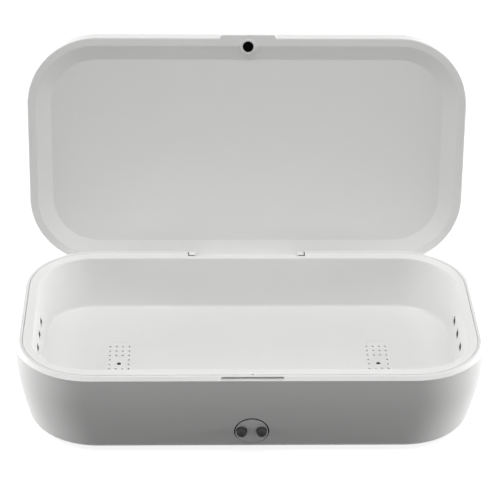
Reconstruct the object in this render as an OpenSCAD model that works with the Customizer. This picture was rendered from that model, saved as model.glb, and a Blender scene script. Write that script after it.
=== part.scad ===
// A table-top box that cleans phones with ultraviolet lamps, lid open.
// Millimetres. X runs left to right, Y from the front to the hinge, Z up.
// The origin is on the table, under the middle of the base.

/* [Base shell] */
// Overall width of the base
base_w = 220; // [200:1:250]
// Overall depth of the base, front to back
base_d = 121.2; // [114:0.2:140]
// Height of the base from its underside to the rim
base_h = 42; // [40:0.5:55]
// Corner radius of the base in plan
corner_r = 36; // [34:0.5:44]
// Wall thickness of the base shell
shell_wall = 2.2; // [1.8:0.1:2.6]
// Rounding of the shell's top edge
edge_r = 1.7; // [1.4:0.1:2.2]
// How far the walls draw in on their way down
wall_lean = 4; // [2:0.1:4.5]
// Rounding between the walls and the underside
heel_r = 6; // [4.5:0.5:7]
// Width of the shell's flat shoulder, out to its widest line
shoulder_w = 3.2; // [2.8:0.1:3.8]

/* [Tray] */
// Width of the white rim at the two sides
rim_side = 4.8; // [4.5:0.1:6]
// Width of the white rim at the front
rim_front = 5; // [4.8:0.1:6]
// Width of the white rim at the back, in front of the hinge
rim_back = 6.1; // [6:0.1:7]
// Thickness of the rim flange
rim_t = 1.8; // [1.4:0.1:2.2]
// Depth of the tray below the rim
tray_depth = 26.9; // [22:0.1:27.5]
// Wall thickness of the tray
tray_wall = 1.6; // [1.2:0.1:1.8]
// How far the tray's walls lean in at the floor
tray_draft = 2.5; // [1.5:0.1:3]
// Corner radius of the tray in plan, at the rim
tray_r = 26.5; // [22:0.5:28]
// Rounding between the tray's walls and its floor
floor_fillet = 1.5; // [0.8:0.1:2]
// Gap all round the tray, which shows as the thin dark seam
seam_gap = 0.25; // [0.15:0.05:0.4]

/* [Vents and lamps] */
// Diameter of the small floor holes
vent_hole_d = 1.15; // [0.8:0.05:1.4]
// Spacing of the floor holes from side to side
vent_pitch_x = 3.08; // [2.6:0.02:3.4]
// Spacing of the floor holes from front to back
vent_pitch_y = 4.05; // [3.4:0.05:4.2]
// Diameter of the lamp window in the middle of each hole pattern
window_d = 2.2; // [1.8:0.1:2.6]
// Distance of each hole pattern from the middle of the tray
vent_x = 62.7; // [58:0.1:66]
// Length of the raised mark behind each hole pattern
mark_l = 8; // [5:0.5:9]
// Diameter of the round lamp holes in the side walls
lamp_hole_d = 5; // [4.8:0.1:5.4]
// Diameter of a side lamp's body
lamp_d = 4.6; // [4.2:0.1:4.7]
// Spacing of the side lamps
lamp_pitch = 12; // [10:0.5:14]
// Height of the side lamps below the rim
lamp_drop = 13.4; // [12:0.2:17]

/* [Lid] */
// How far the lid's edge stands in from the base's widest line
lid_inset = 1.5; // [1.3:0.1:2.6]
// Thickness of the lid
lid_t = 12; // [11:0.2:15]
// Wall thickness of the lid's cover
lid_wall = 2; // [1.6:0.1:2.2]
// Thickness of the lid's inner panel
panel_t = 1.6; // [1.2:0.1:1.8]
// Width of the flat band round the lid's inner face
lid_band = 3.9; // [3.5:0.1:4.5]
// Width of the slope inside that band
lid_slope = 8.2; // [6:0.2:10]
// Depth of the lid's recess
lid_recess = 4.5; // [3.5:0.1:5]
// Rounding of the lid's outer top edge
lid_crown_r = 5; // [3:0.5:6]
// Least gap between the lid's edge and the base's top edge as the lid swings
swing_gap = 0.27; // [0.2:0.01:0.5]
// Width of the finger tab on the lid's front edge
tab_w = 27.4; // [20:0.2:36]
// How far the finger tab stands out of the lid's edge
tab_out = 1.5; // [1:0.1:1.8]

/* [Hinge] */
// Angle between the closed lid and the open lid
open_angle = 97.0; // [80:0.1:99]
// Distance of the hinge line from the base's back
hinge_in = 3.6; // [3.1:0.05:3.9]
// Drop of the hinge line below the rim
hinge_drop = 6.6; // [6.2:0.05:7]
// Outer radius of the lid arm's barrel
barrel_r = 2.6; // [2.4:0.05:2.7]
// Diameter of the hinge pin
pin_d = 2.5; // [2:0.1:2.8]
// Width of the lid arm between the two hinge posts
arm_w = 49.4; // [40:0.2:60]
// Width of each hinge post
post_w = 3.2; // [2.8:0.1:3.6]
// Side clearance of the arm, the posts and their notch
side_gap = 0.5; // [0.3:0.05:0.6]

/* [Buttons] */
// Diameter of the round insert that holds the buttons
insert_d = 15.8; // [15.2:0.1:16.4]
// Height of the insert's centre below the rim
insert_drop = 30.6; // [30:0.1:31.4]
// Diameter of a button cap
cap_d = 4.8; // [4.2:0.1:5.2]
// Distance between the two button centres
cap_pitch = 9.3; // [8.8:0.1:9.6]
// Height of a cap's dome
cap_dome = 2.3; // [1.1:0.1:2.4]
// Height of a cap's straight side above the wall
cap_rise = 0.9; // [0.3:0.1:1.1]
// Height of the two buttons above the insert's centre
cap_lift = 0.3; // [0:0.1:0.6]
// Travel of a button
cap_travel = 0.8; // [0.4:0.1:0.9]

/* [Underside] */
// How far the rubber ring stands out of the underside
foot_out = 1; // [0.8:0.1:1.5]
// Width of the rubber ring
ring_w = 4; // [3:0.1:4.4]
// Distance from the base's widest line to the rubber ring
ring_inset = 12; // [11.5:0.1:13]
// Width of the bottom cover
cover_w = 168; // [164:1:172]
// Depth of the bottom cover, front to back
cover_d = 68; // [66:1:70]
// Thickness of the bottom cover
cover_t = 2.4; // [2:0.1:2.6]

/* [Electronics] */
// Width of the main circuit board
board_w = 56; // [50:1:60]
// Thickness of the main circuit board
board_t = 1.6; // [1.2:0.1:1.6]
// Width of the power inlet's metal mouth
inlet_w = 8.9; // [8.4:0.1:9.2]
// Height of the power inlet's metal mouth
inlet_h = 3.2; // [2.8:0.1:3.4]

/* [Hidden] */
$fn = 64;
// Tiny overlap that keeps cuts clean
eps = 0.01;
// Clearance of pieces that only stand beside each other
slack = 0.3;
// Radial clearance of the turning arm on its pin
run_fit = 0.05;

// Heights
rim_z = foot_out + base_h;
floor_z = rim_z - tray_depth;
tray_under = floor_z - tray_wall;
seat_z = rim_z - rim_t;
ledge_t = 2;
ledge_gap = 0.8;
ledge_in = shoulder_w + rim_side - tray_wall - ledge_gap;

// Plan of the tray's mouth
mouth_w = base_w - 2 * (shoulder_w + rim_side);
mouth_d = base_d - 2 * shoulder_w - rim_front - rim_back;
mouth_y = (rim_front - rim_back) / 2;

// Hinge line
axis_y = base_d / 2 - hinge_in;
axis_z = rim_z - hinge_drop;
notch_half = arm_w / 2 + 2 * side_gap + post_w + side_gap;
notch_z = axis_z - barrel_r - side_gap;

// Lid plan, with the lid shut
lid_w = base_w - 2 * lid_inset;
lid_d = base_d - 2 * lid_inset;
lid_r = corner_r - lid_inset;
lid_gap = norm([base_d / 2 - edge_r - axis_y, rim_z - edge_r - axis_z])
    + edge_r + swing_gap - hinge_drop;
lid_z = rim_z + lid_gap;

// Button insert
insert_z = rim_z - insert_drop;
insert_y = -(base_d / 2 - lean(insert_z));
cap_fit = 0.2;
cap_skirt = shell_wall + slack;

// Electronics. The room under the tray is shared out between the board's
// parts, the board and the heads of its screws
under_room = tray_under - foot_out - cover_t;
board_gap = under_room * 0.3564;
board_z = tray_under - board_gap - board_t;
board_front = -base_d / 2 + shell_wall + wall_lean + 2.4;
board_back = base_d / 2 - shell_wall - wall_lean - 1;
inlet_z = board_z + board_t + inlet_h / 2;
inlet_len = 7.4;
post_d = 5;
lamp_post_d = 4;
board_post_x = board_w / 2 - 4;
board_post_y = [-base_d / 4, base_d / 4];
cover_post_x = cover_w / 2 - 7;
cover_post_y = cover_d / 2 - 7;
screw_d = 2.4;
cover_head_d = 4.8;
cover_head_t = 1;
cover_screw_l = under_room * 0.79;
board_head_d = 4.2;
board_head_t = 1.4;
board_screw_l = board_t + board_gap * 0.82;
bracket_head_d = 4;
bracket_screw_l = 7;
lamp_y = [-lamp_pitch, 0, lamp_pitch];
lamp_z = rim_z - lamp_drop;
lamp_wall_x = mouth_w / 2 + tray_wall - tray_in(lamp_z);
lamp_flange = 1;
side_board_t = 1.2;
side_board_h = 9;
side_board_rim = 5;
vent_y = 0.7;
window_drop = 1.35 * vent_pitch_y;
mark_w = 0.5;
lamp_board_w = 20;
lamp_board_d = 28;
lamp_board_t = 1.2;
lamp_board_z = tray_under - 3.2;
floor_lamp_w = 3.5;
floor_lamp_h = 1.4;
ribbon_w = 6;
ribbon_t = 0.5;
ribbon_lap = 8;
tilt = atan(lean_slope(insert_z));

// Chips and round capacitors on the main board, as shares of its width and
// of the gap above it: [x, y, size across, size along, height]
chips = [[-0.16, -0.05, 0.18, 0.18, 0.45], [0.13, -0.42, 0.125, 0.09, 0.4],
    [0.16, 0.37, 0.11, 0.11, 0.7]];
caps = [[-0.21, 0.46, 0.09, 0.09, 0.86], [-0.07, 0.46, 0.09, 0.09, 0.86]];

// Switches behind the buttons. A stem ends short of its switch by the
// button's travel and a little more
switch_w = 4.4;
switch_len = 3.4;
switch_h = board_gap * 0.94;
switch_y = board_front + 0.9;
stem_in = (switch_y - insert_y) / cos(tilt) - cap_travel - slack;

// Bottom cover and rubber ring
foot_seat = 0.8;
lip_w = 3;
cover_r = 10;
slot_w = 2;
slot_l = 18;
slot_pitch = 5;

// Hinge bracket with its two posts, and the front face of the lid's arm
arm_front = axis_y - 1.8;
post_dy = 3.8;
post_y = axis_y - 0.4;
post_x = arm_w / 2 + 2 * side_gap + post_w / 2;
pin_len = arm_w + 4 * side_gap + 2 * post_w;
bracket_t = 2.6;
bracket_z = notch_z - side_gap - bracket_t;
bracket_half = notch_half + 7;
bracket_d = 4.2;
bracket_back = base_d / 2 - shell_wall - lean(bracket_z) - 0.15;
bracket_screw_x = notch_half + 3.4;
bracket_screw_y = bracket_back - bracket_d / 2;
boss_h = 9;

// Lid parts
lid_low_r = 0.9;
cover_z = lid_z + panel_t + 0.2;
bumper_boss_d = 7.4;
bumper_d = 5.2;
bumper_y = -base_d / 2 + shoulder_w + rim_front / 2 + 0.1;
magnet_d = 3;
magnet_t = 2.5;

// How far the shell's wall has drawn in at height z
function drop_part(z) = max(0, (rim_z - edge_r - z) / (base_h - edge_r - heel_r));
function lean(z) = wall_lean * pow(drop_part(z), 1.9);
function lean_slope(z) =
    1.9 * wall_lean * pow(drop_part(z), 0.9) / (base_h - edge_r - heel_r);

// How far the tray's wall has leaned in at height z
function tray_in(z) = tray_draft * (rim_z - z) / tray_depth;

// Outer wall profile as [distance in, height], from the top down
heel_top = foot_out + heel_r;
heel_a = atan(lean_slope(heel_top));
heel_in = lean(heel_top) + heel_r * cos(heel_a);
function top_arc(r, z) =
    [for (a = [90:-18:0]) [r * (1 - cos(a)), z - r * (1 - sin(a))]];
function wall_run(thick, z0) =
    [for (i = [0:6]) let (z = z0 + (heel_top - z0) * i / 6) [thick + lean(z), z]];
function heel_arc(thick) =
    [for (i = [1:5]) let (a = heel_a + (90 - heel_a) * i / 5, r = heel_r - thick)
        [heel_in - r * cos(a), heel_top - r * sin(a)]];
outer_profile = concat(top_arc(edge_r, rim_z),
    [for (i = [1:6]) let (z = rim_z - edge_r + (heel_top - rim_z + edge_r) * i / 6)
        [lean(z), z]],
    heel_arc(0));
hollow_profile = concat(
    [[shoulder_w, rim_z + 1], [shoulder_w, seat_z], [ledge_in, seat_z],
     [ledge_in, seat_z - ledge_t]],
    wall_run(shell_wall, seat_z - ledge_t), heel_arc(shell_wall));

// A profile run round a rounded rectangle of the given plan
module loft(w, d, r, profile) {
    rotate([90, 0, 90])
        linear_extrude(w - 2 * r, center = true)
            polygon(section(d / 2, profile));
    rotate([90, 0, 0])
        linear_extrude(d - 2 * r, center = true)
            polygon(section(w / 2, profile));
    for (k = [0:3], sx = [1, -1, -1, 1][k], sy = [1, 1, -1, -1][k])
        translate([sx * (w / 2 - r), sy * (d / 2 - r), 0])
            rotate(90 * k)
                rotate_extrude(angle = 90)
                    polygon(corner_section(r, profile));
}

function section(half, profile) = concat(
    [for (p = profile) [half - p[0], p[1]]],
    [for (i = [len(profile) - 1:-1:0]) [profile[i][0] - half, profile[i][1]]]);
function corner_section(r, profile) = concat(
    [[0, profile[0][1]]],
    [for (p = profile) [r - p[0], p[1]]],
    [[0, profile[len(profile) - 1][1]]]);

// A plain plate with rounded corners, from z0 up
module plate(w, d, r, z0, t) {
    loft(w, d, r, [[0, z0 + t], [0, z0]]);
}

// Holds its children at the insert, with local +Z pointing out of the wall
module at_insert() {
    translate([0, insert_y, insert_z])
        rotate([90 + tilt, 0, 0])
            children();
}

// Turns the shut lid to its open place
module opened() {
    translate([0, axis_y, axis_z])
        rotate([-open_angle, 0, 0])
            translate([0, -axis_y, -axis_z])
                children();
}

// A screw with a round head, pointing down from its seat at the origin
module screw(head_d, head_t, length) {
    difference() {
        union() {
            cylinder(d = head_d, h = head_t);
            translate([0, 0, -length])
                cylinder(d = screw_d, h = length + eps);
        }
        for (a = [0, 90])
            rotate(a)
                translate([-head_d / 3, -head_d / 14, head_t / 2])
                    cube([head_d / 1.5, head_d / 7, head_t]);
    }
}

// Four mirrored places
module at_four(x, y) {
    for (sx = [-1, 1], sy = [-1, 1])
        translate([sx * x, sy * y, 0])
            children();
}

module outer_shell() {
    color("whitesmoke")
    difference() {
        union() {
            difference() {
                loft(base_w, base_d, corner_r, outer_profile);
                loft(base_w, base_d, corner_r, hollow_profile);
            }
            // Bosses on the back wall that carry the hinge bracket
            intersection() {
                loft(base_w, base_d, corner_r, outer_profile);
                for (s = [-1, 1])
                    translate([s * bracket_screw_x, bracket_screw_y, bracket_z - boss_h])
                        cylinder(d = post_d, h = boss_h);
            }
        }
        for (s = [-1, 1])
            translate([s * bracket_screw_x, bracket_screw_y, bracket_z - boss_h + 1.5])
                cylinder(d = screw_d, h = boss_h);
        // Opening of the bottom cover and the step that it rests against
        plate(cover_w + 2 * slack, cover_d + 2 * slack, cover_r + slack,
            foot_out - 1, 1 + shell_wall / 2);
        plate(cover_w - 2 * lip_w, cover_d - 2 * lip_w, cover_r - lip_w,
            foot_out - 1, 2 + shell_wall);
        // Groove of the rubber ring
        ring(0.1, foot_out - 1, foot_out + foot_seat);
        // Notch for the lid's arm and the hinge posts
        translate([-notch_half, axis_y - 8, notch_z])
            cube([2 * notch_half, base_d, base_h]);
        // Finger recess under the lid's tab
        translate([-(tab_w + 1.3) / 2, -base_d / 2 - 1, rim_z - 1.15])
            cube([tab_w + 1.3, 1 + shoulder_w - 1.45, base_h]);
        // Round hole of the button insert
        at_insert()
            translate([0, 0, -shell_wall * 2])
                cylinder(d = insert_d + 2 * 0.15, h = shell_wall * 4);
        // Mouth of the power inlet
        translate([0, base_d / 2, inlet_z])
            rotate([90, 0, 0])
                stadium(inlet_w + 0.6, inlet_h + 0.6, 30);
    }
}

// A slot with round ends, pushed along Z about its middle
module stadium(w, h, length) {
    linear_extrude(length, center = true) {
        square([w - h, h], center = true);
        for (s = [-1, 1])
            translate([s * (w - h) / 2, 0])
                circle(d = h);
    }
}

module tray_body() {
    difference() {
        union() {
            plate_in(shoulder_w + seam_gap, seat_z, rim_t);
            translate([0, mouth_y, 0])
                loft(mouth_w + 2 * tray_wall, mouth_d + 2 * tray_wall,
                    tray_r + tray_wall,
                    [[tray_in(rim_z - rim_t / 2), rim_z - rim_t / 2],
                     [tray_in(tray_under), tray_under]]);
        }
        translate([0, mouth_y, 0])
            loft(mouth_w, mouth_d, tray_r, concat(
                [[-0.7, rim_z + 0.1], [-0.7, rim_z], [-0.2, rim_z - 0.2],
                 [tray_in(rim_z - 0.7), rim_z - 0.7]],
                [for (a = [0:22.5:90])
                    [tray_in(floor_z + floor_fillet) + floor_fillet * (1 - cos(a)),
                     floor_z + floor_fillet * (1 - sin(a))]]));
    }
}

// A plate that follows the base's plan, a set distance in from its widest line
module plate_in(inset, z0, t) {
    loft(base_w, base_d, corner_r, [[inset, z0 + t], [inset, z0]]);
}

// The floor holes of one pattern: four columns and six rows, with one
// round window in place of the middle four of the fourth and fifth rows
module vent_holes() {
    for (i = [0:3], j = [0:5])
        if (j < 1 || j > 2 || i == 0 || i == 3)
            translate([(i - 1.5) * vent_pitch_x, (j - 2.5) * vent_pitch_y,
                tray_under - 1])
                cylinder(d = vent_hole_d, h = tray_wall + 2, $fn = 24);
    translate([0, -window_drop, tray_under - 1])
        cylinder(d = window_d, h = tray_wall + 2);
}

module inner_tray() {
    color("white")
    difference() {
        union() {
            tray_body();
            // Posts for the cover, the main board and the two lamp boards
            at_four(cover_post_x, cover_post_y)
                translate([0, 0, foot_out + cover_t])
                    cylinder(d = post_d, h = tray_under - foot_out - cover_t + eps);
            for (sx = [-1, 1], y = board_post_y)
                translate([sx * board_post_x, y, board_z + board_t])
                    cylinder(d = post_d, h = tray_under - board_z - board_t + eps);
            for (sx = [-1, 1], sy = [-1, 1])
                translate([sx * vent_x, vent_y + sy * (lamp_board_d / 2 - 3),
                    lamp_board_z + lamp_board_t])
                    cylinder(d = lamp_post_d, h = tray_under - lamp_board_z - lamp_board_t + eps);
            // Raised marks behind the hole patterns
            for (s = [-1, 1])
                translate([s * vent_x, vent_y + 3.55 * vent_pitch_y, floor_z])
                    cube([mark_l, mark_w, mark_w / 2], center = true);
        }
        at_four(cover_post_x, cover_post_y)
            translate([0, 0, foot_out])
                cylinder(d = screw_d, h = cover_screw_l + cover_head_t + 1);
        for (sx = [-1, 1], y = board_post_y)
            translate([sx * board_post_x, y, board_z])
                cylinder(d = screw_d, h = board_screw_l + 0.6);
        for (s = [-1, 1]) {
            translate([s * vent_x, vent_y, 0])
                vent_holes();
            // Round lamp holes in the side walls
            for (y = lamp_y)
                translate([s * lamp_wall_x, y, lamp_z])
                    rotate([0, 90, 0])
                        cylinder(d = lamp_hole_d, h = 4 * tray_wall, center = true);
        }
        // Notch in the rim for the arm and the hinge posts
        translate([-notch_half, arm_front - side_gap, seat_z - 1])
            cube([2 * notch_half, base_d, rim_t + 2]);
        for (s = [-1, 1])
            translate([s * (notch_half - (post_w + 3 * side_gap) / 2), post_y, rim_z])
                cube([post_w + 3 * side_gap, post_dy + 2 * side_gap, 20],
                    center = true);
        // Small seat over the lid sensor
        translate([0, -base_d / 2 + shoulder_w + seam_gap, rim_z - 0.6])
            cylinder(d = 1.8, h = 2);
    }
}

module bottom_cover() {
    color("gainsboro")
    difference() {
        union() {
            plate(cover_w, cover_d, cover_r, foot_out, shell_wall / 2);
            plate(cover_w - 2 * lip_w - 2 * slack, cover_d - 2 * lip_w - 2 * slack,
                cover_r - lip_w - slack, foot_out + eps, cover_t - eps);
        }
        at_four(cover_post_x, cover_post_y) {
            translate([0, 0, foot_out - 1])
                cylinder(d = screw_d + 0.4, h = cover_t + 2);
            translate([0, 0, foot_out - 1])
                cylinder(d = cover_head_d + 2 * slack, h = 1 + cover_head_t + 0.2);
        }
        // Air slots under the board
        for (i = [-4:4])
            translate([i * slot_pitch, 0, foot_out + cover_t / 2])
                stadium_y(slot_w, slot_l, cover_t + 2);
    }
}

module stadium_y(w, l, h) {
    rotate(90)
        stadium(l, w, h);
}

// A flat ring that follows the base's plan, wider by grow on each side
module ring(grow, z0, z1) {
    difference() {
        plate_in(ring_inset - grow, z0, z1 - z0);
        plate_in(ring_inset + ring_w + grow, z0 - 1, z1 - z0 + 2);
    }
}

module rubber_ring() {
    color("dimgray")
        ring(0, 0, foot_out + foot_seat);
}

module cover_screws() {
    color("silver")
    at_four(cover_post_x, cover_post_y)
        translate([0, 0, foot_out + cover_head_t + 0.2])
            mirror([0, 0, 1])
                screw(cover_head_d, cover_head_t, cover_screw_l);
}

module main_board() {
    color("darkgreen")
    difference() {
        translate([-board_w / 2, board_front, board_z])
            cube([board_w, board_back - board_front, board_t]);
        for (sx = [-1, 1], y = board_post_y)
            translate([sx * board_post_x, y, board_z - 1])
                cylinder(d = screw_d + 0.2, h = board_t + 2);
    }
}

module board_screws() {
    color("silver")
    for (sx = [-1, 1], y = board_post_y)
        translate([sx * board_post_x, y, board_z])
            mirror([0, 0, 1])
                screw(board_head_d, board_head_t, board_screw_l);
}

module board_chips() {
    color("black")
        for (c = chips)
            translate([c[0] * board_w, c[1] * board_w, board_z + board_t + c[4] * board_gap / 2])
                cube([c[2] * board_w, c[3] * board_w, c[4] * board_gap], center = true);
    color("steelblue")
        for (c = caps)
            translate([c[0] * board_w, c[1] * board_w, board_z + board_t])
                cylinder(d = c[2] * board_w, h = c[4] * board_gap);
}

module power_inlet() {
    color("silver")
    difference() {
        translate([0, base_d / 2 - lean(inlet_z) - inlet_len / 2 - 0.4, inlet_z])
            rotate([90, 0, 0])
                stadium(inlet_w, inlet_h, inlet_len);
        translate([0, base_d / 2 - lean(inlet_z) - 0.4, inlet_z])
            rotate([90, 0, 0])
                difference() {
                    stadium(inlet_w - 0.6, inlet_h - 0.6, 2 * inlet_len - 2);
                    cube([inlet_w - 2.6, 0.8, 2 * inlet_len], center = true);
                }
    }
}

module button_switches() {
    color("dimgray")
    for (s = [-1, 1])
        translate([s * cap_pitch / 2 - switch_w / 2, switch_y, board_z + board_t])
            cube([switch_w, switch_len, switch_h]);
}

module button_insert() {
    color("whitesmoke")
    difference() {
        intersection() {
            difference() {
                loft(base_w, base_d, corner_r, outer_profile);
                loft(base_w, base_d, corner_r, hollow_profile);
            }
            at_insert()
                translate([0, 0, -shell_wall * 2])
                    cylinder(d = insert_d, h = shell_wall * 4);
        }
        at_insert()
            for (s = [-1, 1])
                translate([s * cap_pitch / 2, cap_lift, -8])
                    cylinder(d = cap_d + 2 * cap_fit, h = 16);
    }
}

// One push button: domed cap, skirt behind the wall, stem to its switch
module button(s) {
    dome_r = (pow(cap_d / 2, 2) + pow(cap_dome, 2)) / (2 * cap_dome);
    at_insert()
        translate([s * cap_pitch / 2, cap_lift, 0]) {
            intersection() {
                translate([0, 0, -cap_skirt])
                    cylinder(d = cap_d, h = cap_skirt + cap_rise + 4);
                translate([0, 0, cap_rise + cap_dome - dome_r])
                    sphere(dome_r);
            }
            translate([0, 0, -cap_skirt])
                cylinder(d = cap_d, h = cap_skirt + cap_rise);
            translate([0, 0, -cap_skirt - 0.8])
                cylinder(d = cap_d + 1.6, h = 0.8 + eps);
            translate([0, -cap_lift, -stem_in])
                cylinder(d = 2, h = stem_in - cap_skirt);
        }
}

module power_button() {
    color("dimgray")
        button(-1);
}

module mode_button() {
    color("dimgray")
        button(1);
}

module floor_lamp_board(s) {
    color("darkgreen")
        translate([s * vent_x, vent_y, lamp_board_z + lamp_board_t / 2])
            cube([lamp_board_w, lamp_board_d, lamp_board_t], center = true);
}

// A square lamp body with a small lens, under the round window
module floor_lamp(s) {
    color("gold")
        translate([s * vent_x, vent_y - window_drop, lamp_board_z + lamp_board_t]) {
            translate([0, 0, floor_lamp_h / 2])
                cube([floor_lamp_w, floor_lamp_w, floor_lamp_h], center = true);
            translate([0, 0, floor_lamp_h - eps])
                intersection() {
                    sphere(window_d / 2 - 0.1);
                    cylinder(r = 2, h = 2);
                }
        }
}

module side_lamp_board(s) {
    color("darkgreen")
        translate([s * (lamp_wall_x + lamp_seat + lamp_flange + side_board_t / 2), 0, lamp_z])
            cube([side_board_t, 2 * (lamp_pitch + side_board_rim), side_board_h],
                center = true);
}

// The leaning wall makes each lamp's flange touch at its lower edge
lamp_seat = (lamp_d / 2 + 0.5) * tray_draft / tray_depth;

// Three round lamps that look into the tray through its side wall
module side_lamps(s) {
    color("slategray")
    for (y = lamp_y)
        translate([s * (lamp_wall_x + lamp_seat), y, lamp_z])
            rotate([0, -90 * s, 0]) {
                translate([0, 0, -lamp_flange])
                    cylinder(d = lamp_d + 1, h = lamp_flange);
                cylinder(d = lamp_d, h = 0.6);
                intersection() {
                    translate([0, 0, 0.6 + tray_wall - lamp_d / 2 + 0.1])
                        sphere(d = lamp_d);
                    cylinder(d = lamp_d, h = 10);
                }
            }
}

module ribbon_cables() {
    color("lightgray")
    for (s = [-1, 1])
        ribbon(s);
}

// A flat cable from the main board's edge to the lamp board above it
module ribbon(s) {
    x0 = board_w / 2 - ribbon_lap / 2;
    x1 = vent_x - lamp_board_w / 2 + ribbon_w / 2;
    z0 = board_z + board_t;
    z1 = lamp_board_z - ribbon_t;
    lap = ribbon_lap;
    t = ribbon_t;
    translate([0, vent_y - ribbon_w / 2, 0])
        rotate([90, 0, 0])
            mirror([s < 0 ? 1 : 0, 0, 0])
                linear_extrude(ribbon_w, center = true)
                    polygon([[x0, z0], [x0 + lap, z0], [x1 - lap, z1], [x1, z1],
                        [x1, z1 + t], [x1 - lap, z1 + t], [x0 + lap, z0 + t],
                        [x0, z0 + t]]);
}

module lid_sensor() {
    color("black")
        translate([0, -base_d / 2 + shoulder_w + 1.3, seat_z - ledge_t - 2.1])
            cube([4, 1.6, 4], center = true);
}

module hinge_bracket() {
    color("lightgray")
    difference() {
        union() {
            translate([-bracket_half, bracket_back - bracket_d, bracket_z])
                cube([2 * bracket_half, bracket_d, bracket_t]);
            for (s = [-1, 1])
                translate([s * post_x - post_w / 2, post_y - post_dy / 2, 0]) {
                    translate([0, 0, bracket_z])
                        cube([post_w, bracket_back - post_y + post_dy / 2, bracket_t]);
                    translate([0, 0, notch_z + 0.2])
                        cube([post_w, post_dy, rim_z - 0.3 - notch_z - 0.2]);
                    translate([0, 0, bracket_z + bracket_t / 2])
                        cube([post_w, bracket_back - post_y + post_dy / 2,
                            notch_z + 1 - bracket_z - bracket_t / 2]);
                }
        }
        translate([0, axis_y, axis_z])
            rotate([0, 90, 0])
                cylinder(d = pin_d, h = 2 * bracket_half, center = true);
        for (s = [-1, 1])
            translate([s * bracket_screw_x, bracket_screw_y, bracket_z - 1])
                cylinder(d = screw_d + 0.2, h = bracket_t + 2);
    }
}

module bracket_screws() {
    color("silver")
    for (s = [-1, 1])
        translate([s * bracket_screw_x, bracket_screw_y, bracket_z + bracket_t])
            screw(bracket_head_d, board_head_t, bracket_screw_l);
}

module hinge_pin() {
    color("silver")
        translate([0, axis_y, axis_z])
            rotate([0, 90, 0])
                cylinder(d = pin_d, h = pin_len, center = true);
}

lid_crown = [for (a = [0:18:90])
    [lid_crown_r * (1 - cos(a)) + 0.6, lid_z + lid_t - lid_crown_r * (1 - sin(a))]];

module lid_cover() {
    color("whitesmoke")
    opened()
        difference() {
            loft(lid_w, lid_d, lid_r, concat(
                [for (i = [len(lid_crown) - 1:-1:0]) lid_crown[i]],
                [[0.1, cover_z + 1], [0.1, cover_z]]));
            loft(lid_w, lid_d, lid_r,
                [[lid_wall + lid_crown_r * 0.6, lid_z + lid_t - lid_wall],
                 [lid_wall + lid_crown_r * 0.15, lid_z + lid_t - lid_crown_r * 0.8],
                 [lid_wall, lid_z + lid_t - lid_crown_r * 1.3],
                 [lid_wall, cover_z - 1]]);
        }
}

// Inner panel: flat band, slope and recessed middle, in one moulding
module lid_panel() {
    b = lid_band;
    e = lid_band + lid_slope;
    color("white")
    opened()
        difference() {
            union() {
                loft(lid_w, lid_d, lid_r,
                    [[0, lid_z + panel_t], [0, lid_z + lid_low_r],
                     [lid_low_r * 0.3, lid_z + lid_low_r * 0.3], [lid_low_r, lid_z]]);
                loft(lid_w, lid_d, lid_r,
                    [[e - panel_t, lid_z + lid_recess + panel_t],
                     [b - panel_t, lid_z + panel_t], [b - panel_t, lid_z + panel_t / 2]]);
                // Arm that hangs from the back band and turns on the pin
                translate([0, axis_y, axis_z])
                    rotate([0, 90, 0])
                        cylinder(r = barrel_r, h = arm_w, center = true);
                translate([-arm_w / 2, arm_front, axis_z])
                    cube([arm_w, lid_d / 2 - lid_low_r - arm_front,
                        lid_z + lid_low_r - axis_z]);
                // Finger tab
                translate([-tab_w / 2, -lid_d / 2 - tab_out, lid_z])
                    cube([tab_w, tab_out + lid_band - panel_t, panel_t]);
                // Round boss for the bumper, kept clear of the cover's wall
                translate([0, bumper_y, lid_z])
                    cylinder(d = bumper_boss_d, h = panel_t);
                intersection() {
                    translate([0, bumper_y, lid_z])
                        cylinder(d = bumper_boss_d, h = lid_recess);
                    plate_lid(lid_wall + slack, lid_z, lid_t);
                }
            }
            difference() {
                loft(lid_w, lid_d, lid_r,
                    [[e, lid_z + lid_recess], [b, lid_z], [b, lid_z - 1]]);
                translate([0, bumper_y, lid_z - eps])
                    cylinder(d = bumper_boss_d, h = lid_recess + 2);
            }
            translate([0, bumper_y, lid_z - 1])
                cylinder(d = bumper_d, h = 1 + 1.2);
            // Pocket behind the boss for the magnet
            translate([0, bumper_y, lid_z + 2])
                cylinder(d = magnet_d + 0.1, h = 6);
            translate([0, axis_y, axis_z])
                rotate([0, 90, 0])
                    cylinder(r = pin_d / 2 + run_fit, h = arm_w + 2, center = true);
        }
}

// A plate that follows the lid's plan, a set distance in from its edge
module plate_lid(inset, z0, t) {
    loft(lid_w, lid_d, lid_r, [[inset, z0 + t], [inset, z0]]);
}

module lid_bumper() {
    color("black")
    opened()
        translate([0, bumper_y, lid_z - lid_gap + 0.1])
            cylinder(d = bumper_d, h = lid_gap - 0.1 + 1.2);
}

module lid_magnet() {
    color("silver")
    opened()
        translate([0, bumper_y, lid_z + 2])
            cylinder(d = magnet_d, h = magnet_t);
}

outer_shell();
inner_tray();
bottom_cover();
rubber_ring();
cover_screws();
main_board();
board_screws();
board_chips();
power_inlet();
button_switches();
button_insert();
power_button();
mode_button();
floor_lamp_board(-1);  // floor_lamp_board_left
floor_lamp_board(1);  // floor_lamp_board_right
floor_lamp(-1);  // floor_lamp_left
floor_lamp(1);  // floor_lamp_right
side_lamp_board(-1);  // side_lamp_board_left
side_lamp_board(1);  // side_lamp_board_right
side_lamps(-1);  // side_lamps_left
side_lamps(1);  // side_lamps_right
ribbon_cables();
lid_sensor();
hinge_bracket();
bracket_screws();
hinge_pin();
lid_cover();
lid_panel();
lid_bumper();
lid_magnet();
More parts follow.
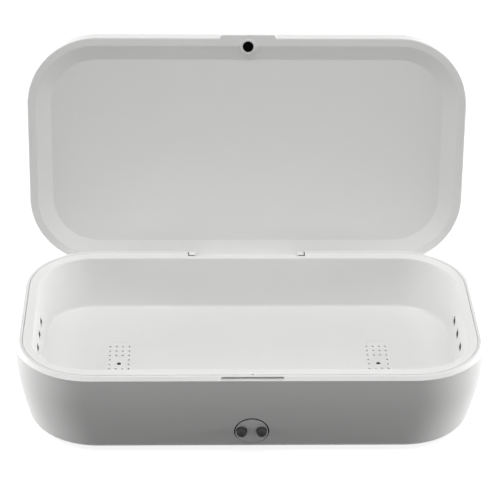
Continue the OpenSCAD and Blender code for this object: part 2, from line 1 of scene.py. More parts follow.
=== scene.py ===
# %% [markdown]
# # A phone sanitizer box, lid open
#
# A low white plastic box stands open. A phone lies in its tray, the lid shuts
# over it, and lamps in the tray's floor and end walls clean it. We build the
# visible skin of the box here, over a CAD model that already says where every
# part is and how it moves.

# %% Load the CAD frame
import bpy, bmesh, math
from mathutils import Matrix, Vector


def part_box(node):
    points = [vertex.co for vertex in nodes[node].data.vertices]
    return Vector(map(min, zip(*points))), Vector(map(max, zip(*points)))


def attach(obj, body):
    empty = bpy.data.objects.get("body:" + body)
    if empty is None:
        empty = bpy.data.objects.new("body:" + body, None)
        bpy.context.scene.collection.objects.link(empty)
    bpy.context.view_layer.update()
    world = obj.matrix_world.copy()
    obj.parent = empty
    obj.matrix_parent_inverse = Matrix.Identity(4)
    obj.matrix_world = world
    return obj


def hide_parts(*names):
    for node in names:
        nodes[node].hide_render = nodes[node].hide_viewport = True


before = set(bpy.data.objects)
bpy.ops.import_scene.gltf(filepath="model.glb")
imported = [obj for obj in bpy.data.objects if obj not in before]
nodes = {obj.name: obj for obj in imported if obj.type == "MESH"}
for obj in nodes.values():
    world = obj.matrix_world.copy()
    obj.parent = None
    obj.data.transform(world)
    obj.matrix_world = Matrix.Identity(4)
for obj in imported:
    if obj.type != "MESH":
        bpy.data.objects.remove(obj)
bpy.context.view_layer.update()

# %% [markdown]
# ## The camera first
#
# The camera stands where the photographer's did, a little left of the middle
# and 29 degrees up. A long lens keeps the two side walls nearly parallel. We
# place it before any piece, so that each render can be laid over the photo.

# %% Camera
def put(name, data):
    """Makes an object of its data and links it to the scene."""
    obj = bpy.data.objects.new(name, data)
    bpy.context.scene.collection.objects.link(obj)
    return obj


azimuth, elevation, roll = (math.radians(a) for a in (1.933, 29.013, 0.908))
forward = Vector((math.sin(azimuth) * math.cos(elevation),
                  math.cos(azimuth) * math.cos(elevation), -math.sin(elevation)))
right = Vector((math.cos(azimuth), -math.sin(azimuth), 0))
down = forward.cross(right)
right, down = (math.cos(roll) * right - math.sin(roll) * down,
               math.sin(roll) * right + math.cos(roll) * down)
camera = put("camera", bpy.data.cameras.new("camera"))
camera.data.sensor_width, camera.data.lens = 36, 147.6
camera.matrix_world = Matrix.Translation((-0.02864, -0.84455, 0.54482)) @ Matrix(
    (right, -down, -forward)).transposed().to_4x4()
bpy.context.scene.camera = camera
print("camera looks along", [round(c, 3) for c in forward])

# %% [markdown]
# ## Sizes
#
# Everything below is in millimetres, the unit a moulder thinks in. One number
# turns it into Blender's metres when a mesh is made.

# %% The box's main sizes
MM = 0.001
low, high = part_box("outer_shell")
base_w = (high.x - low.x) / MM
base_d = (high.y - low.y) / MM
rim_z = high.z / MM
foot = low.z / MM
corner_r, shoulder, seam = 36, 3.2, 0.25
flange_t = 1.8             # the tray's rim, and the ledge in the shell under it
wall_foot = 37             # below this the wall follows one curve
SHARP = math.radians(32)   # an edge between faces that turn more than this stays crisp
FOUR = [(sx, sy) for sx in (-1, 1) for sy in (-1, 1)]
SIDES = ((-1, "left"), (1, "right"))
print(f"base {base_w:.1f} x {base_d:.1f} mm, rim at {rim_z:.1f} mm")

# %% [markdown]
# ## Loops that follow the plan
#
# The box, its tray and its lid are all rounded rectangles whose outline grows
# and shrinks with height, as a moulded part with drafted walls does. So we
# build them as a stack of loops, each with the same number of points, and
# join loop to loop with four-sided faces. That gives even faces, true corner
# arcs and clean highlights, which a box with a bevel can't.

# %% One loop, and a stack of loops
def plan(half_w, half_d, r, z, y=0.0, corner=22, along=10):
    """Points of a rounded rectangle at height z, anticlockwise from above."""
    points = []
    arcs = []
    for k, (sx, sy) in enumerate([(1, 1), (-1, 1), (-1, -1), (1, -1)]):
        cx, cy = sx * (half_w - r), sy * (half_d - r) + y
        turn = [math.pi / 2 * (k + i / corner) for i in range(corner + 1)]
        arcs.append([Vector((cx + r * math.cos(a), cy + r * math.sin(a), z)) for a in turn])
    for k, arc in enumerate(arcs):
        points += arc
        end, start = arc[-1], arcs[(k + 1) % 4][0]
        points += [end.lerp(start, i / along) for i in range(1, along)]
    return points


def base_loop(inset, z):
    """The base's plan, drawn in. Its corners grow rounder towards the table."""
    rounder = 5 * min(1.0, max(0.0, (30 - z) / 24)) if z > 6 else 2 + z / 2
    rounder = 0 if inset > 11 else rounder
    return plan(base_w / 2 - inset, base_d / 2 - inset, max(corner_r - inset + rounder, 1), z)


def piece_from(bm, name):
    """Turns a bmesh in millimetres into an object with smooth faces."""
    bmesh.ops.recalc_face_normals(bm, faces=bm.faces)
    bmesh.ops.scale(bm, vec=(MM, MM, MM), verts=bm.verts)
    mesh = bpy.data.meshes.new(name)
    bm.to_mesh(mesh)
    bm.free()
    mesh.shade_smooth()
    mesh.set_sharp_from_angle(angle=SHARP)
    return put(name, mesh)


def stack(name, loops, closed=False, place=Matrix()):
    """Joins the loops into one skin, shut by a face at each end, or into a ring."""
    bm = bmesh.new()
    rows = [[bm.verts.new(place @ Vector(p)) for p in loop] for loop in loops]
    n = len(rows[0])
    for a, b in zip(rows, rows[1:] + ([rows[0]] if closed else [])):
        for i in range(n):
            j = (i + 1) % n
            bm.faces.new((a[i], a[j], b[j], b[i]))
    if not closed:
        bm.faces.new(rows[0])
        bm.faces.new(rows[-1])
    return piece_from(bm, name)


print("a loop has", len(base_loop(0, 0)), "points")

# %% [markdown]
# ## Rounded profiles
#
# No moulded edge is sharp. This helper takes a profile drawn with straight
# lines and rounds each corner by its own radius. It also puts one extra point
# just outside every arc, so that the flat next to it stays flat when Blender
# smooths the shading.

# %% Round a profile's corners
def soften(corners, steps=5):
    """corners are (in, up, radius); returns the (in, up) points."""
    out = []
    for i, (u, v, r) in enumerate(corners):
        here = Vector((u, v))
        if r == 0 or i in (0, len(corners) - 1):
            out.append((u, v))
            continue
        a, b = Vector(corners[i - 1][:2]) - here, Vector(corners[i + 1][:2]) - here
        room_a, room_b = a.length, b.length
        a.normalize()
        b.normalize()
        half = a.angle(b) / 2
        t = min(r / math.tan(half), 0.42 * room_a, 0.42 * room_b)
        middle = here + (a + b).normalized() * (t / math.cos(half))
        s, e = here + a * t - middle, here + b * t - middle
        first = math.atan2(s.y, s.x)
        sweep = (math.atan2(e.y, e.x) - first + math.pi) % (2 * math.pi) - math.pi
        out.append(tuple(here + a * (t + min(0.12, 0.06 * room_a))))
        for k in range(steps + 1):
            angle = first + sweep * k / steps
            out.append((middle.x + s.length * math.cos(angle),
                        middle.y + s.length * math.sin(angle)))
        out.append(tuple(here + b * (t + min(0.12, 0.06 * room_b))))
    return out


print(len(soften([(0, 0, 0), (5, 0, 1), (5, 5, 0)])), "points round one corner")

# %% [markdown]
# ## Cutting
#
# Holes, slots and notches are cut from the finished skin with Boolean, the
# way a mould's pins leave them. The modifier is settled into the mesh at
# once, so each piece is plain when the next step starts.

# %% Cutters and the cut itself
def settle(obj):
    """Bakes the object's modifiers into its mesh."""
    graph = bpy.context.evaluated_depsgraph_get()
    mesh = bpy.data.meshes.new_from_object(obj.evaluated_get(graph))
    obj.modifiers.clear()
    obj.data = mesh


def ease(obj, width, segments):
    """Rounds the object's edges by width mm."""
    bevel = obj.modifiers.new("ease", "BEVEL")
    bevel.width, bevel.segments, bevel.limit_method = width * MM, segments, "ANGLE"
    bevel.angle_limit = math.radians(40)
    settle(obj)


def move(obj, place):
    """Moves the mesh itself, in millimetres, so that the object stays at the origin."""
    obj.data.transform(Matrix.Scale(MM, 4) @ place @ Matrix.Scale(1 / MM, 4))
    return obj


def block(x, y, z, name="cutter"):
    """A box between two x, two y and two z."""
    bm = bmesh.new()
    corners = [bm.verts.new((x[i], y[j], z[k])) for i in (0, 1) for j in (0, 1) for k in (0, 1)]
    for f in [(0, 1, 3, 2), (4, 6, 7, 5), (0, 4, 5, 1), (2, 3, 7, 6), (0, 2, 6, 4), (1, 5, 7, 3)]:
        bm.faces.new([corners[i] for i in f])
    return piece_from(bm, name)


def lathe(name, profile, place=Matrix(), sides=48):
    """Turns (radius, height) points about the place's Z axis into a solid."""
    bm = bmesh.new()
    rows = []
    for r, h in profile:
        if r < 1e-6:
            rows.append([bm.verts.new(place @ Vector((0, 0, h)))])
        else:
            rows.append([bm.verts.new(place @ Vector((
                r * math.cos(2 * math.pi * i / sides), r * math.sin(2 * math.pi * i / sides), h)))
                for i in range(sides)])
    for a, b in zip(rows, rows[1:]):
        for i in range(sides):
            j = (i + 1) % sides
            quad = [a[i % len(a)], a[j % len(a)], b[j % len(b)], b[i % len(b)]]
            bm.faces.new(list(dict.fromkeys(quad)))
    for row in (rows[0], rows[-1]):
        if len(row) > 1:
            bm.faces.new(row)
    return piece_from(bm, name)


def rod(radius, start, end, sides=48):
    """A round cutter from start to end."""
    start, end = Vector(start), Vector(end)
    place = Matrix.Translation(start) @ (end - start).to_track_quat("Z", "Y").to_matrix().to_4x4()
    return lathe("cutter", [(radius, 0), (radius, (end - start).length)], place, sides)


def boolean(obj, others, operation):
    """Cuts the others away from obj (DIFFERENCE) or welds them to it (UNION)."""
    for other in others:
        step = obj.modifiers.new("boolean", "BOOLEAN")
        step.operation, step.solver, step.object = operation, "EXACT", other
    settle(obj)
    for other in others:
        bpy.data.objects.remove(other)
    obj.data.set_sharp_from_angle(angle=SHARP)
    print(f"{obj.name}: {len(obj.data.polygons)} faces after {len(others)} x {operation.lower()}")


def join(first, *others):
    """Others' faces become part of first."""
    bm = bmesh.new()
    for o in (first, *others):
        bm.from_mesh(o.data)
    bm.to_mesh(first.data)
    bm.free()
    for o in others:
        bpy.data.objects.remove(o)
    first.data.set_sharp_from_angle(angle=SHARP)
    return first


# %% [markdown]
# ## The outer shell
#
# The base's shell is one ABS moulding. Its wall stands almost straight at the
# top, draws in faster towards the table, and turns under in a soft heel. At
# the top a broad bevel runs round under a narrow flat shoulder. We draw that
# section once, inside and out, and run it round the plan.

# %% The wall's curve
def lean(z):
    """How far the wall has drawn in at height z."""
    return 4.0 * (max(0.0, rim_z - 1.7 - z) / 34.3) ** 1.9


heel_r, heel_mid_z = 6.0, foot + 6.0
heel_start_z = 5.702
heel_mid_in = lean(heel_start_z) + math.sqrt(heel_r**2 - (heel_mid_z - heel_start_z) ** 2)


def wall_inset(z):
    """The outer surface's inset at height z, heel included."""
    if z >= heel_start_z:
        return lean(z)
    return heel_mid_in - math.sqrt(max(0.0, heel_r**2 - (heel_mid_z - z) ** 2))


print(f"wall draws in {lean(heel_start_z):.2f} mm, heel ends {heel_mid_in:.2f} mm in")

# %% The shell's skin
top_edge = soften([(shoulder, rim_z - flange_t, 0), (shoulder, rim_z, 0.12),
                   (1.75, rim_z, 0.2), (0.0, rim_z - 1.3, 0.12), (lean(wall_foot), wall_foot, 0)])
wall = [(lean(z), z) for z in [wall_foot - i * (wall_foot - heel_start_z) / 20
                               for i in range(1, 21)]]
heel = []
for i in range(1, 9):
    a = math.radians(12 + 78 * i / 8)
    heel.append((heel_mid_in - heel_r * math.cos(a), heel_mid_z - heel_r * math.sin(a)))
under = [(11.7, foot), (11.9, foot), (11.9, foot + 0.8), (16.1, foot + 0.8), (16.1, foot)]
outer = [base_loop(i, z) for i, z in top_edge + wall + heel + under]
cover_w, cover_d, cover_r = 168, 68, 10
cover_screw, board_screw = (77, 27), (24, 30.3)    # how far the screws stand off the middle


def cover_loop(grow, z):
    return plan(cover_w / 2 + grow, cover_d / 2 + grow, cover_r + grow, z)


opening = [cover_loop(0.3, foot), cover_loop(0.3, foot + 1.1), cover_loop(-3, foot + 1.1),
           cover_loop(-3, foot + 2.2)]
inside = [(heel_mid_in, foot + 2.2)]
for i in range(1, 7):
    a = math.radians(90 - 78 * i / 6)
    inside.append((heel_mid_in - 3.8 * math.cos(a), heel_mid_z - 3.8 * math.sin(a)))
inside += [(lean(z) + 2.2, z) for z in (8, 14, 20, 26, 32, rim_z - 3.8)]
inside += [(5.6, rim_z - 3.8), (5.6, rim_z - flange_t)]
shell = stack("shell", outer + opening + [base_loop(i, z) for i, z in inside], closed=True)
print("shell:", len(shell.data.polygons), "faces")

# %% [markdown]
# The shell's openings: the notch at the back where the hinge sits, the finger
# recess under the lid's tab, the round hole of the button insert and the
# mouth of the power inlet. The insert's axis leans down with the wall, so the
# little round plate sits flush.

# %% Places of the hinge and of the insert
hinge = Vector((0, base_d / 2 - 3.6, rim_z - 6.6))
notch = 29.4
insert_z = rim_z - 30.6
insert_y = -(base_d / 2 - lean(insert_z))
slope = 1.9 * 4.0 / 34.3 * ((rim_z - 1.7 - insert_z) / 34.3) ** 0.9
tilt = math.atan(slope)
at_insert = (Matrix.Translation((0, insert_y, insert_z))
             @ Matrix.Rotation(math.pi / 2 + tilt, 4, "X"))
print(f"insert leans {math.degrees(tilt):.1f} degrees")

# %% Cut the shell's openings
inlet_z = 12.144
to_back = Matrix.Translation((0, base_d / 2, inlet_z)) @ Matrix.Rotation(math.pi / 2, 4, "X")
mouth = stack("cutter", [plan(4.75, 1.9, 1.88, z, corner=10, along=2) for z in (-9, 9)],
              place=to_back)
recess = stack("cutter", [plan(14.35, 4, 0.5, z, y=-base_d / 2 - 2.25, corner=5, along=2)
                          for z in (rim_z - 1.15, rim_z + 3)])
undercut = block((-14.35, 14.35), (-base_d / 2 + 1, -base_d / 2 + 2.75), (rim_z - 1.15, rim_z - 0.3))
hole = rod(8.15, at_insert @ Vector((0, 0, -9)), at_insert @ Vector((0, 0, 9)), 96)
slot = block((-notch, notch), (hinge.y - 8, 80), (hinge.z - 3.1, 60))
boolean(shell, [mouth, recess, undercut, hole, slot], "DIFFERENCE")

# %% [markdown]
# ## The inner tray
#
# The phone lies in a deep tray with drafted walls, so that the moulding slides
# off its core. Its flat rim rests on a ledge in the shell, with a hair's
# breadth of dark seam round it. The rim turns down into the walls over a
# small round, and the walls meet the floor in a tight fillet.

# %% The tray's skin
tray_floor = rim_z - 26.9


def tray_loop(inset, z):
    return plan(102 - inset, 51.85 - inset, 26.5 - inset, z, y=-0.55)


bowl = soften([(12, tray_floor, 0), (2.5, tray_floor, 1.5), (0, rim_z, 0.6), (-3, rim_z, 0)])[:-1]
flange = soften([(9, rim_z, 0), (shoulder + seam, rim_z, 0.12),
                 (shoulder + seam, rim_z - flange_t, 0.1), (9, rim_z - flange_t, 0)])[1:-1]
under_tray = tray_floor - 1.6
belly = soften([(-5, rim_z - flange_t, 0), (-1.45, rim_z - flange_t, 0.1), (1.05, under_tray, 1.5),
                (12, under_tray, 0)])[1:]
tray = stack("tray", [tray_loop(i, z) for i, z in bowl] + [base_loop(i, z) for i, z in flange]
             + [tray_loop(i, z) for i, z in belly])
print(f"tray floor at {tray_floor:.1f} mm,", len(tray.data.polygons), "faces")

# %% [markdown]
# ## The floor's holes, by Geometry Nodes
#
# Each half of the floor has a field of fine air holes with one larger lamp
# window among them. Forty small cylinders by hand would be slow to change, so
# a node tree lays a grid of points, drops the four points that the window
# replaces, and puts a pin on each that is left. The pins then cut the floor.

# %% One function that adds a node
def add(tree, kind, inputs=None, **settings):
    """Adds a node; an input is a value, or another node's output to link."""
    made = tree.nodes.new(kind)
    for key, value in settings.items():
        setattr(made, key, value)
    for key, value in (inputs or {}).items():
        if isinstance(value, bpy.types.NodeSocket):
            tree.links.new(value, made.inputs[key])
        else:
            made.inputs[key].default_value = value
    return made


def calc(tree, operation, *values):
    """A Math node's result."""
    return add(tree, "ShaderNodeMath", dict(enumerate(values)), operation=operation).outputs[0]


def new_tree(name, sizes):
    """A node tree with named inputs. sizes is {name: default}."""
    tree = bpy.data.node_groups.new(name, "GeometryNodeTree")
    tree.interface.new_socket("Geometry", in_out="INPUT", socket_type="NodeSocketGeometry")
    for label, value in sizes.items():
        kind = "NodeSocketInt" if isinstance(value, int) else "NodeSocketFloat"
        tree.interface.new_socket(label, in_out="INPUT", socket_type=kind).default_value = value
    tree.interface.new_socket("Finish", in_out="INPUT", socket_type="NodeSocketMaterial")
    tree.interface.new_socket("Geometry", in_out="OUTPUT", socket_type="NodeSocketGeometry")
    return tree, tree.nodes.new("NodeGroupInput").outputs


def close_tree(tree, geometry, given):
    """Ends a tree: real faces, one finish."""
    real = add(tree, "GeometryNodeRealizeInstances", {0: geometry})
    smooth = add(tree, "GeometryNodeSetShadeSmooth", {0: real.outputs[0], "Shade Smooth": True})
    finish = add(tree, "GeometryNodeSetMaterial", {0: smooth.outputs[0],
                                                   "Material": given["Finish"]})
    add(tree, "NodeGroupOutput", {0: finish.outputs[0]})


def grow(name, tree, points=((0, 0, 0),), finish=None, **sizes):
    """Runs a tree on a few points and keeps the plain mesh that it makes."""
    mesh = bpy.data.meshes.new(name)
    mesh.from_pydata([[c * MM for c in p] for p in points], [], [])
    obj = put(name, mesh)
    run = obj.modifiers.new("grow", "NODES")
    run.node_group = tree
    for item in tree.interface.items_tree:
        if item.in_out == "INPUT" and item.name in sizes:
            run[item.identifier] = sizes[item.name]
        if item.name == "Finish" and finish is not None:
            run[item.identifier] = finish
    settle(obj)
    obj.data.set_sharp_from_angle(angle=SHARP)
    return obj


# %% The tree that lays out the pins
pins, given = new_tree("air_hole_pins", {"Columns": 4, "Rows": 6, "PitchX": 0.00308,
                                         "PitchY": 0.00405, "HoleRadius": 0.000575, "Depth": 0.006})
size_x = calc(pins, "MULTIPLY", calc(pins, "ADD", given["Columns"], -1.0), given["PitchX"])
size_y = calc(pins, "MULTIPLY", calc(pins, "ADD", given["Rows"], -1.0), given["PitchY"])
grid = add(pins, "GeometryNodeMeshGrid", {"Size X": size_x, "Size Y": size_y,
                                          "Vertices X": given["Columns"],
                                          "Vertices Y": given["Rows"]})
spot = add(pins, "ShaderNodeSeparateXYZ", {0: add(pins, "GeometryNodeInputPosition").outputs[0]})
near_x = calc(pins, "LESS_THAN", calc(pins, "ABSOLUTE", spot.outputs["X"]), given["PitchX"])
row = calc(pins, "DIVIDE", spot.outputs["Y"], given["PitchY"])
gap = calc(pins, "MULTIPLY", near_x, calc(pins, "COMPARE", row, -1.0, 0.6))
kept = add(pins, "GeometryNodeDeleteGeometry", {0: grid.outputs["Mesh"], "Selection": gap},
           domain="POINT")
pin = add(pins, "GeometryNodeMeshCylinder", {"Vertices": 16, "Radius": given["HoleRadius"],
                                             "Depth": given["Depth"]})
field = add(pins, "GeometryNodeInstanceOnPoints", {"Points": kept.outputs[0],
                                                   "Instance": pin.outputs["Mesh"]})
close_tree(pins, field.outputs[0], given)

# %% Cut the tray
vent_x, vent_y, vent_pitch, lamp_z = 62.7, 0.7, 4.05, rim_z - 13.4
window_y = vent_y - 1.35 * vent_pitch
cuts = []
for side in (-1, 1):
    group = move(grow("pins", pins),
                 Matrix.Translation((side * vent_x, vent_y, tray_floor - 0.8)))
    print("pins in one field:", len(group.data.vertices) // 32)
    cuts += [group, rod(1.1, (side * vent_x, window_y, 10), (side * vent_x, window_y, 20), 32)]
    cuts += [rod(2.5, (side * 97, y, lamp_z), (side * 107, y, lamp_z)) for y in (-12, 0, 12)]
cuts.append(block((-notch, notch), (hinge.y - 2.3, 80), (rim_z - 2.8, rim_z + 2)))
for side in (-1, 1):
    x = sorted((side * notch, side * (notch - 4.7)))
    cuts.append(block(x, (hinge.y - 3.4, hinge.y + 2), (rim_z - 3.1, rim_z + 3)))
dimple_y = -base_d / 2 + 3.45
cuts.append(rod(0.9, (0, dimple_y, rim_z - 0.6), (0, dimple_y, rim_z + 1), 24))
boolean(tray, cuts, "DIFFERENCE")

# %% [markdown]
# Under the tray stand the posts that hold the cover, the main board and the
# two lamp boards. On its floor, behind each field of holes, lies a short
# raised line, hardly higher than a hair. A dark pane closes each lamp window.

# %% Posts and raised lines
posts = []
for sx, sy in FOUR:
    for r, x, y, bottom in ((2.5, sx * cover_screw[0], sy * cover_screw[1], foot + 2.4),
                            (2.5, sx * board_screw[0], sy * board_screw[1], under_tray - 3.95),
                            (2, sx * vent_x, vent_y + sy * 11, under_tray - 2)):
        posts.append(rod(r, (x, y, bottom), (x, y, under_tray + 0.2), 24))
join(tray, *posts)
lines = []
for side in (-1, 1):
    at = Matrix.Translation((side * vent_x, vent_y + 3.55 * vent_pitch, tray_floor - 0.05))
    section = soften([(0.6, 0, 0), (0, 0, 0.02), (0, 0.17, 0.1), (0.25, 0.17, 0)], 3)[1:]
    lines.append(stack("line", [plan(4 - i, 0.25 - min(i, 0.24), max(0.25 - i, 0.005), z,
                                     corner=5, along=3) for i, z in section], place=at))
tray_lines = join(*lines)
tray_lines.name = "tray_lines"
panes = [lathe("pane", soften([(0, -1.5, 0), (1.08, -1.5, 0), (1.08, -0.1, 0.06), (0, -0.1, 0)]),
               Matrix.Translation((side * vent_x, window_y, tray_floor))) for side in (-1, 1)]
panes = join(*panes)
panes.name = "window_panes"
print("posts, lines and panes made")

# %% [markdown]
# ## The button insert
#
# The two buttons come through a small round plate that lies in the shell's
# wall. Its face has to follow the wall's curve exactly, or the light would
# give it away. So each point of a flat disc is pushed along the disc's axis
# until it lands on the wall. A thin dark strip fills the gap round it. It is
# painted shade for the gap's shadow: close under the face at the top, and
# sunk deeper towards the bottom.

# %% A disc that follows the wall
cap_x, cap_t = 4.65, 0.3    # a button's place on the disc, right and up


def on_wall(x, t):
    """How far out along the insert's axis the wall lies, t up from its centre."""
    near, far = -6.0, 3.0
    for _ in range(40):
        middle = (near + far) / 2
        p = at_insert @ Vector((x, t, middle))
        if p.y < -(base_d / 2 - wall_inset(p.z)):
            far = middle
        else:
            near = middle
    return near


disc = []
for r, sink in [(0.01, 2.2), (7.65, 2.2), (7.65, 0.3), (7.61, 0.15), (7.5, 0.07), (7.35, 0.05),
                (5.5, 0.05), (3.5, 0.05), (1.5, 0.05), (0.01, 0.05)]:
    circle = [(r * math.cos(math.pi * i / 48), r * math.sin(math.pi * i / 48) - 0.3)
              for i in range(96)]
    disc.append([(x, t, on_wall(x, t) - sink) for x, t in circle])
insert = stack("insert", disc, place=at_insert)
# Painted shade: a near-black strip in the insert's gap. It lies close under the face at the top and
# sinks deeper towards the bottom, so the gap reads dark only at the top.
painted_shade_loops = []
for r, sink in [(7.2, 0.35), (7.5, 0.12), (7.95, 0.12), (8.12, 0.3), (8.12, 2.0), (7.2, 2.0)]:
    circle = [(r * math.cos(math.pi * i / 48), r * math.sin(math.pi * i / 48)) for i in range(96)]
    painted_shade_loops.append([(x, t, on_wall(x, t) - sink - max(0.0, -0.2 - t / r) * (2 - sink))
                   for x, t in circle])
insert_painted_shade = stack("insert_gap_painted_shade", painted_shade_loops, closed=True, place=at_insert)
boolean(insert, [rod(2.6, at_insert @ Vector((side * cap_x, cap_t, -9)),
                     at_insert @ Vector((side * cap_x, cap_t, 9))) for side in (-1, 1)],
        "DIFFERENCE")

# %% [markdown]
# ## The buttons
#
# Two dark caps with a full round dome. They are turned shapes, so we draw
# half of a section and spin it. Behind the wall each has a collar that keeps
# it in, and a thin stem that reaches its switch.

# %% Two domed caps
cap_r, dome, rise = 2.4, 2.3, 0.9
dome_r = (cap_r**2 + dome**2) / (2 * dome)
profile = [(0, -4.1), (1, -4.1), (1, -3.3), (3.2, -3.3), (3.2, -2.5), (cap_r, -2.5), (cap_r, 0.8)]
for i in range(13):
    r = (cap_r - 0.005) * (math.cos(math.pi / 2 * i / 12) if i < 12 else 0)
    profile.append((r, rise + dome - dome_r + math.sqrt(dome_r**2 - r**2)))
caps = {}
for side, label in ((-1, "power_button"), (1, "mode_button")):
    place = at_insert @ Matrix.Translation((side * cap_x, cap_t, 0))
    caps[label] = lathe(label.replace("button", "cap"), profile, place)
print("caps stand out", round(max(h for _, h in profile), 2), "mm")

# %% [markdown]
# ## The lid
#
# The lid is two mouldings: an inner panel and an outer cover, with a fine
# joint between them. We build both shut, where their loops are level, and
# then turn every point back about the hinge to the angle in the photo.

# %% The lid's place and loops
open_angle = math.radians(97.0)
lid_z = rim_z + 0.626
opened = (Matrix.Translation(hinge) @ Matrix.Rotation(-open_angle, 4, "X")
          @ Matrix.Translation(-hinge))


def lid_loop(inset, z):
    return plan(base_w / 2 - 1.5 - inset, base_d / 2 - 1.5 - inset, max(34.5 - inset, 1), lid_z + z)


panel_face = soften([(24, 2.0, 0), (11.6, 2.0, 1.5), (4.1, 0, 1.0), (0, 0, 0.9), (0, 1.6, 0.15),
                     (2.6, 1.6, 0.3), (10.3, 3.6, 1.5), (24, 3.6, 0)])
panel = stack("lid_inner", [lid_loop(i, z) for i, z in panel_face], place=opened)
print("lid panel:", len(panel.data.polygons), "faces")

# %% [markdown]
# The panel carries four small things: the finger tab at its free edge, the
# round boss of the bumper, and the arm with its barrel that turns on the pin.
# We join them to the panel with a Boolean, so that they grow out of it as one
# moulding and no face is left inside.

# %% Finger tab, boss and arm
def extrude(name, outline, x0, x1, edge_r, place):
    """An outline of (y, z) points pushed along X, with its edges eased."""
    bm = bmesh.new()
    ends = [[bm.verts.new((x, y, z)) for y, z in outline] for x in (x0, x1)]
    for i in range(len(outline)):
        j = (i + 1) % len(outline)
        bm.faces.new((ends[0][i], ends[0][j], ends[1][j], ends[1][i]))
    bm.faces.new(ends[0])
    bm.faces.new(ends[1])
    obj = piece_from(bm, name)
    ease(obj, edge_r, 3)
    return move(obj, place)


tab_face = soften([(3, 0, 0), (0, 0, 0.25), (0, 1.6, 0.3), (3, 1.6, 0)])[1:-1]
tab = stack("tab", [plan(13.7 - i, 1.9 - i, max(1.4 - i, 0.1), lid_z + z, y=-base_d / 2 + 1.9,
                         corner=8, along=4) for i, z in tab_face], place=opened)
bumper_y = -base_d / 2 + 5.8
bumper_r, boss_r = 2.6, 3.7
at_bumper = opened @ Matrix.Translation((0, bumper_y, lid_z))
boss = lathe("boss", soften([(bumper_r, 1.3, 0), (bumper_r, -0.22, 0.12), (boss_r, -0.22, 0.2),
                             (boss_r, 4.4, 0.1), (0.5, 4.4, 0)]), at_bumper)
behind = block((-9, 9), (-70, -base_d / 2 + 3.6), (lid_z + 1.5, lid_z + 9))
move(behind, opened)
boolean(boss, [behind], "DIFFERENCE")
arc = [math.radians(a) for a in range(134, 450 - 17, 12)]
arm_outline = [(hinge.y - 1.8, lid_z + 0.8), (hinge.y - 1.8, hinge.z + 2.2)]
arm_outline += [(hinge.y + 2.6 * math.cos(a), hinge.z + 2.6 * math.sin(a)) for a in arc]
arm_outline += [(hinge.y + 1.2, hinge.z + 3.2), (hinge.y + 1.2, lid_z + 0.8)]
arm = extrude("arm", arm_outline, -24.7, 24.7, 0.25, opened)
boolean(panel, [tab, boss, arm], "UNION")
print("lid panel with its arm:", len(panel.data.polygons), "faces")

# %% The lid's outer cover
cover_out = soften([(30, 10, 0), (4.0, 10, 3.0), (2.0, 1.8, 0.15), (0.1, 1.8, 0.25),
                    (0.6, 11.86, 5.0), (30, 11.86, 0)], 8)
lid_outer = stack("lid_outer", [lid_loop(i, z) for i, z in cover_out], place=opened)
print("lid cover:", len(lid_outer.data.polygons), "faces")

# %% [markdown]
# ## The bumper
#
# A soft black button stops the lid on the rim without a click. It is pressed
# into the boss and stands half a millimetre out of it.

# %% A turned rubber stop
stop_face = soften([(0, -0.52, 0), (bumper_r, -0.52, 0.3), (bumper_r, 1.2, 0.1), (0, 1.2, 0)])
bumper = lathe("lid_stop", stop_face, at_bumper)
print("bumper made")

# %% [markdown]
# ## The underside
#
# A cover closes the base from below. It lies in a step of the shell, is held
# by four screws in round pockets, and has a row of air slots. Round it, in a
# groove, runs the rubber ring that the box stands on.

# %% The cover, its slots by Geometry Nodes
slots, given = new_tree("slot_row", {"Count": 9, "Pitch": 0.005, "Width": 0.002, "Length": 0.018,
                                     "Depth": 0.008})
half_w = calc(slots, "MULTIPLY", given["Width"], 0.4999)
outline = add(slots, "GeometryNodeCurvePrimitiveQuadrilateral",
              {"Width": given["Width"], "Height": given["Length"]})
rounded = add(slots, "GeometryNodeFilletCurve", {"Curve": outline.outputs[0], "Count": 6,
                                                 "Radius": half_w}, mode="POLY")
sheet_of = add(slots, "GeometryNodeFillCurve", {"Curve": rounded.outputs[0]}, mode="NGONS")
pushed = add(slots, "GeometryNodeExtrudeMesh", {"Mesh": sheet_of.outputs[0],
                                                "Offset Scale": given["Depth"],
                                                "Individual": False})
back = add(slots, "GeometryNodeFlipFaces", {"Mesh": sheet_of.outputs[0]})
solid = add(slots, "GeometryNodeJoinGeometry")
slots.links.new(pushed.outputs[0], solid.inputs[0])
slots.links.new(back.outputs[0], solid.inputs[0])
welded = add(slots, "GeometryNodeMergeByDistance", {"Geometry": solid.outputs[0],
                                                    "Distance": 0.000001})
step = add(slots, "ShaderNodeCombineXYZ", {"X": given["Pitch"]})
row_of = add(slots, "GeometryNodeMeshLine", {"Count": given["Count"], "Offset": step.outputs[0]})
placed = add(slots, "GeometryNodeInstanceOnPoints", {"Points": row_of.outputs[0],
                                                     "Instance": welded.outputs[0]})
close_tree(slots, placed.outputs[0], given)

plate = soften([(20, 0, 0), (0, 0, 0.25), (0, 1.1, 0.1), (3.3, 1.1, 0)])[:-1]
lip = soften([(3.3, 1.1, 0), (3.3, 2.4, 0.2), (20, 2.4, 0)])
cover = stack("underside_cover", [
    plan(cover_w / 2 - i, cover_d / 2 - i, max(cover_r - i, 2), foot + z) for i, z in plate + lip])
cutters = [move(grow("slots", slots), Matrix.Translation((-20, 0, -2)))]
for sx, sy in FOUR:
    x, y = sx * cover_screw[0], sy * cover_screw[1]
    cutters.append(rod(1.4, (x, y, -2), (x, y, 6), 24))
    cutters.append(rod(2.7, (x, y, -2), (x, y, foot + 1.2), 32))
boolean(cover, cutters, "DIFFERENCE")

